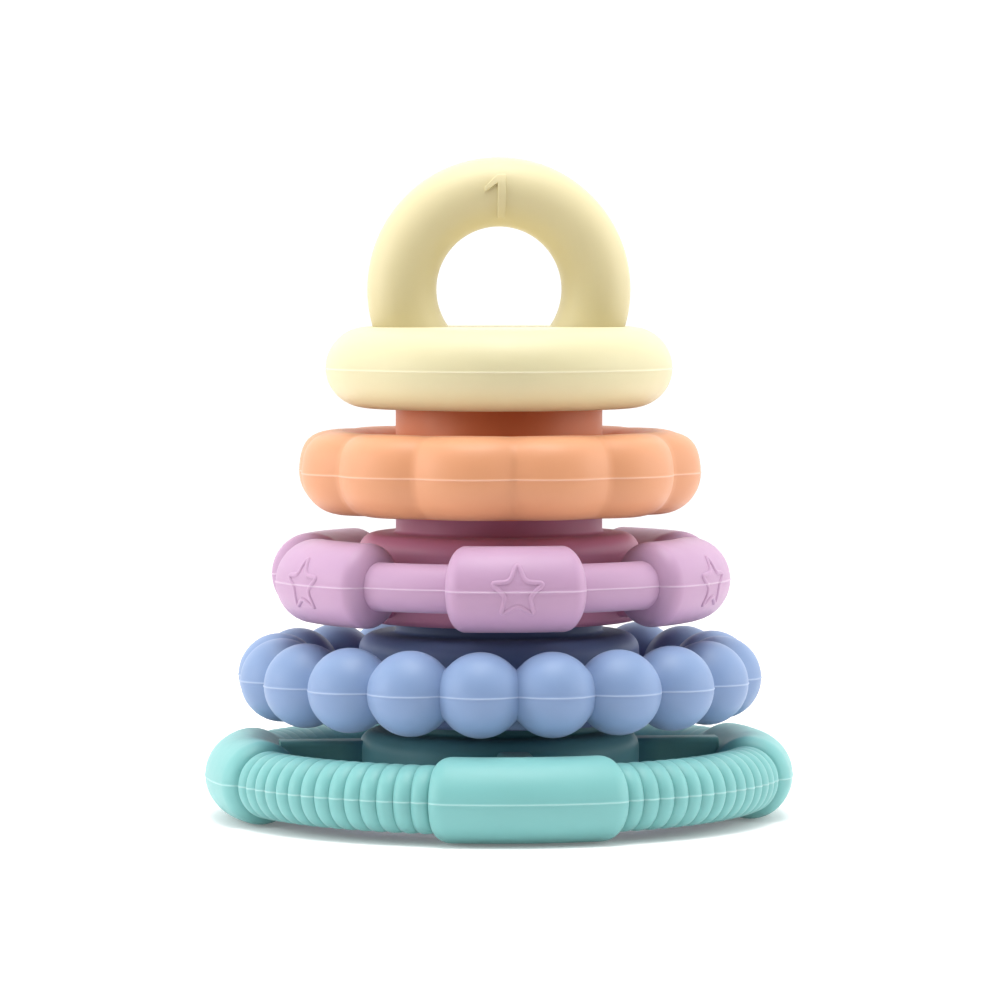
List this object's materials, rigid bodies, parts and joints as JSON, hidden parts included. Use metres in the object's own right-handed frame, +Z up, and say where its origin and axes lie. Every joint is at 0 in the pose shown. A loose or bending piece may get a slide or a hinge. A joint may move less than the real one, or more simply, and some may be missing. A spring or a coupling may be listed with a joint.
{
  "type": "stacking ring tower",
  "caption": "Soft stacking toy: round rings that shrink upwards plug onto each other's necks, topped by a disc with a standing ring handle.",
  "frame": {"origin": "middle of the base ring's underside, on the table", "axes": "+Z up along the stack, -Y the front with the numeral, X across the handle loop"},
  "size_m": [0.12, 0.12, 0.1343],
  "materials": {
    "teal_silicone": "soft matte",
    "blue_silicone": "soft matte",
    "mauve_silicone": "soft matte",
    "peach_silicone": "soft matte",
    "yellow_silicone": "soft matte"
  },
  "bodies": {
    "base": {"base_ring": "teal_silicone"},
    "bead": {"bead_ring": "blue_silicone"},
    "star": {"star_ring": "mauve_silicone"},
    "scallop": {"scallop_ring": "peach_silicone"},
    "top": {"top_piece": "yellow_silicone"}
  },
  "joints": [
    {"name": "bead_lift", "type": "slide", "parent": "base", "child": "bead", "axis": [0, 0, 1], "range_m": [0, 0.04]},
    {"name": "star_lift", "type": "slide", "parent": "bead", "child": "star", "axis": [0, 0, 1], "range_m": [0, 0.04]},
    {"name": "scallop_lift", "type": "slide", "parent": "star", "child": "scallop", "axis": [0, 0, 1], "range_m": [0, 0.04]},
    {"name": "top_lift", "type": "slide", "parent": "scallop", "child": "top", "axis": [0, 0, 1], "range_m": [0, 0.04]}
  ]
}
